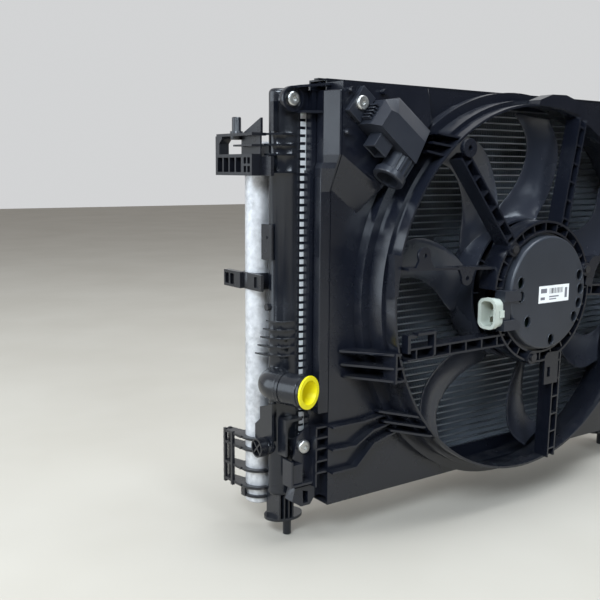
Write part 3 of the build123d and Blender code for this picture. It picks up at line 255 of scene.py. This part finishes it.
def metal(name, colour, rough, streak=(1.0, 1.0, 1.0), cloud=0.25, dull=0.0):
    """Bare metal with streaks, darker clouds and fine scratches, partly matt where dull is set."""
    s = Shader(name)
    darker = tuple(c * (1.0 - cloud) for c in colour)
    clouds = s.noise(scale=14.0, detail=6.0, rough=0.6)
    s.feed(s.blend(s.span(clouds, 0.0, 1.0), darker, colour), "Base Color")
    scratches = s.noise(scale=420.0, detail=4.0, where=s.stretched(streak))
    s.feed(s.span(scratches, rough - 0.08, rough + 0.14), "Roughness")
    s.set("Metallic", 1.0 - dull)
    s.bump(scratches, strength=0.18, distance=0.0002)
    return s.material


def receiver_metal():
    """Matt cast-looking aluminium with pale and grey blotches."""
    s = Shader("drier_metal")
    blotches = s.noise(scale=26.0, detail=8.0, rough=0.7)
    blotch = s.span(blotches, 0.0, 1.0, start=0.38, stop=0.62)
    speck = s.span(s.noise(scale=160.0, detail=4.0), 0.0, 1.0, start=0.35, stop=0.7)
    base = s.blend(blotch, (0.38, 0.38, 0.39), (0.58, 0.58, 0.59))
    s.feed(s.blend(speck, base, (0.66, 0.66, 0.67)), "Base Color")
    s.feed(s.span(blotch, 0.42, 0.62, start=0.0, stop=1.0), "Roughness")
    s.set("Metallic", 0.55)
    s.bump(s.noise(scale=300.0, detail=4.0), strength=0.2, distance=0.0003)
    return s.material


def label_paper():
    """A white printed label with grey bars and blocks that say nothing."""
    s = Shader("label")
    low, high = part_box("motor_label")
    place = s.axes(s.place)
    across = s.span(place["X"], 0.0, 1.0, low[0], high[0])
    up = s.span(place["Z"], 0.0, 1.0, low[2], high[2])

    def band(value, start, stop):
        """1 between start and stop, and 0 outside them."""
        above = s.span(value, 0.0, 1.0, start - LABEL_EDGE, start + LABEL_EDGE)
        below = s.span(value, 1.0, 0.0, stop - LABEL_EDGE, stop + LABEL_EDGE)
        return s.times(above, below)

    waves = s.nodes.new("ShaderNodeTexNoise")
    waves.noise_dimensions = "1D"
    waves.inputs["Scale"].default_value = LABEL_STRIPES
    waves.inputs["Detail"].default_value = 0.0
    s.link(across, waves.inputs["W"])
    stripes = s.span(waves.outputs["Fac"], 0.0, 1.0, start=0.47, stop=0.53)
    left, right, bottom, top = LABEL_BARS
    bars = s.times(s.times(stripes, band(across, left, right)), band(up, bottom, top))
    colour = s.blend(bars, LABEL_WHITE, LABEL_BLACK)
    for left, right, bottom, top in LABEL_BLOCKS:
        block = s.times(band(across, left, right), band(up, bottom, top))
        colour = s.blend(block, colour, LABEL_GREY)
    s.feed(colour, "Base Color")
    s.feed(s.span(s.noise(scale=90.0), 0.45, 0.6), "Roughness")
    return s.material


MATERIALS = {
    "core_metal": metal("core_metal", (0.56, 0.60, 0.66), 0.40, streak=(0.05, 1.0, 1.0)),
    "fin_metal": metal("fin_metal", (0.24, 0.27, 0.31), 0.5, streak=(1.0, 1.0, 0.2),
                       cloud=0.4, dull=0.6),
    "header_metal": metal("header_metal", (0.80, 0.81, 0.82), 0.42, streak=(1.0, 1.0, 0.1),
                          cloud=0.15, dull=0.5),
    "tank_plastic": plastic("tank_plastic", (0.004, 0.005, 0.008), 0.20),
    "bracket_plastic": plastic("bracket_plastic", (0.004, 0.0045, 0.007), 0.28),
    "plug_plastic": plastic("plug_plastic", (0.60, 0.52, 0.0), 0.42, grain=1800.0, dust=0.0),
    "seal_rubber": plastic("seal_rubber", (0.008, 0.008, 0.008), 0.75),
    "drier_metal": receiver_metal(),
    "shroud_plastic": plastic("shroud_plastic", (0.004, 0.005, 0.009), 0.22),
    "fan_plastic": plastic("fan_plastic", (0.015, 0.017, 0.024), 0.22),
    "motor_coating": plastic("motor_coating", (0.018, 0.021, 0.028), 0.36, grain=1500.0,
                             dust=0.04, grit=0.35),
    "steel": metal("steel", (0.10, 0.10, 0.11), 0.40),
    "screw_steel": metal("screw_steel", (0.62, 0.62, 0.60), 0.34),
    "magnet": metal("magnet", (0.10, 0.10, 0.11), 0.6),
    "copper": metal("copper", (0.40, 0.17, 0.08), 0.40, streak=(1.0, 8.0, 1.0)),
    "board": plastic("board", (0.003, 0.012, 0.008), 0.45),
    "connector_plastic": plastic("connector_plastic", (0.40, 0.43, 0.38), 0.42, grain=1800.0,
                                 dust=0.0),
    "relay_plastic": plastic("relay_plastic", (0.012, 0.014, 0.020), 0.34),
    "pin_brass": metal("pin_brass", (0.55, 0.52, 0.42), 0.3),
    "label": label_paper(),
}


def paint(piece, slot):
    piece.data.materials.clear()
    piece.data.materials.append(MATERIALS[slot])


def soften(piece, radius):
    """Joins a part's split vertices and rounds its sharp edges."""
    weld = piece.modifiers.new("weld", "WELD")
    weld.merge_threshold = WELD_REACH
    bevel = piece.modifiers.new("bevel", "BEVEL")
    bevel.width = radius
    bevel.segments = 2
    bevel.limit_method = "ANGLE"
    bevel.angle_limit = radians(SHARP_ANGLE)
    bevel.use_clamp_overlap = True
    bevel.harden_normals = True


for part in frame["record"]["subparts"]:
    paint(nodes[part["node"]], part["material_slot"])
for name, radius in ROUNDED.items():
    soften(nodes[name], radius)


# ---------------------------------------------------------------- pieces made here
def mesh_piece(name, points, faces):
    mesh = bpy.data.meshes.new(name)
    mesh.from_pydata(points, [], faces)
    piece = bpy.data.objects.new(name, mesh)
    bpy.context.collection.objects.link(piece)
    return piece


def folded_fins(name, node, height, pitch, rows, fold):
    """Rows of folded strip between the tubes, in place of the CAD part's coarse ones."""
    low, high = (Vector(corner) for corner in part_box(node))
    middle = (low.z + high.z) / 2
    folds = int((high.x - low.x) / fold)
    step = (high.x - low.x) / folds
    points = []
    faces = []
    for row in range(rows):
        centre = middle + (row - (rows - 1) / 2) * pitch
        first = len(points)
        for i in range(folds + 1):
            z = centre + (height / 2 if i % 2 else -height / 2)
            points.append((low.x + i * step, low.y, z))
            points.append((low.x + i * step, high.y, z))
        for i in range(folds):
            a = first + 2 * i
            faces.append((a, a + 2, a + 3, a + 1))
    piece = mesh_piece(name, points, faces)
    sheet = piece.modifiers.new("sheet", "SOLIDIFY")
    sheet.thickness = FIN_THICKNESS
    sheet.offset = 0.0
    paint(piece, "fin_metal")
    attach(piece, "module")
    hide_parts(node)


def side_fairing():
    """The sloping cover on the left side wall, from the skirt to the raised corner's edge."""
    low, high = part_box("header_left")
    wall = high[0] + WALL_FROM_HEADER
    face = (low[1] + high[1]) / 2 - FACE_FROM_HEADER
    points = []
    faces = []
    for height, back, front, reach in FAIRING_SECTIONS:
        ring = ((FAIRING_SINK, FAIRING_BACK), (-back, FAIRING_BACK), (-back, FAIRING_CORNER),
                (-front, reach), (FAIRING_SINK, reach))
        points += [(wall + x, face - y, height) for x, y in ring]
    sides = len(ring)
    for level in range(len(FAIRING_SECTIONS) - 1):
        for i in range(sides):
            a = level * sides + i
            b = level * sides + (i + 1) % sides
            faces.append((a, b, b + sides, a + sides))
    last = len(points) - sides
    faces.append(tuple(reversed(range(sides))))
    faces.append(tuple(range(last, last + sides)))
    piece = mesh_piece("side_fairing", points, faces)
    soften(piece, FAIRING_ROUNDING)
    paint(piece, "shroud_plastic")
    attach(piece, "module")


for row in FOLDED_FINS:
    folded_fins(*row)
side_fairing()


# ---------------------------------------------------------------- stage
def floor():
    far = FLOOR_REACH
    corners = [(-far, -far, 0), (far, -far, 0), (far, far, 0), (-far, far, 0)]
    piece = mesh_piece("floor", corners, [(0, 1, 2, 3)])
    piece.location.z = cad_box[0][2] - FLOOR_GAP
    s = Shader("floor")
    s.feed(s.blend(s.span(s.noise(scale=3.0), 0.0, 1.0), *FLOOR_TONES), "Base Color")
    s.set("Roughness", 0.8)
    piece.data.materials.append(s.material)


def area_light(name, place, power, size, colour):
    data = bpy.data.lights.new(name, "AREA")
    data.energy = power
    data.size = size
    data.color = colour
    lamp = bpy.data.objects.new(name, data)
    bpy.context.collection.objects.link(lamp)
    lamp.location = place
    ahead = Vector(LIT_POINT) - Vector(place)
    lamp.rotation_euler = ahead.to_track_quat("-Z", "Y").to_euler()


def camera():
    yaw = radians(CAMERA_YAW)
    pitch = radians(CAMERA_PITCH)
    roll = radians(CAMERA_ROLL)
    ahead = Vector((sin(yaw) * cos(pitch), cos(yaw) * cos(pitch), -sin(pitch)))
    level = Vector((cos(yaw), -sin(yaw), 0.0))
    upright = level.cross(ahead)
    right = cos(roll) * level + sin(roll) * upright
    up = right.cross(ahead)
    data = bpy.data.cameras.new("camera")
    data.lens = CAMERA_LENS
    data.sensor_width = SENSOR_WIDTH
    data.clip_start = CAMERA_NEAR
    eye = bpy.data.objects.new("camera", data)
    bpy.context.collection.objects.link(eye)
    turn = Matrix((right, up, -ahead)).transposed().to_4x4()
    eye.matrix_world = Matrix.Translation(CAMERA_PLACE) @ turn
    bpy.context.scene.camera = eye


def surroundings():
    """A plain pale room, dim at the camera's end and brighter behind the object."""
    world = bpy.data.worlds.new("studio")
    bpy.context.scene.world = world
    world.use_nodes = True
    tree = world.node_tree
    place = tree.nodes.new("ShaderNodeTexCoord")
    split = tree.nodes.new("ShaderNodeSeparateXYZ")
    ramp = tree.nodes.new("ShaderNodeMapRange")
    ramp.inputs["From Min"].default_value = ROOM_NEAR
    ramp.inputs["From Max"].default_value = ROOM_FAR
    ramp.inputs["To Min"].default_value = ROOM_DIM
    ramp.inputs["To Max"].default_value = ROOM_BRIGHT
    tree.links.new(place.outputs["Generated"], split.inputs[0])
    tree.links.new(split.outputs["Y"], ramp.inputs["Value"])
    background = tree.nodes["Background"]
    background.inputs["Color"].default_value = ROOM_COLOUR
    tree.links.new(ramp.outputs["Result"], background.inputs["Strength"])


camera()
floor()
for light in LIGHTS:
    area_light(*light)
surroundings()
bpy.context.scene.view_settings.view_transform = "Standard"
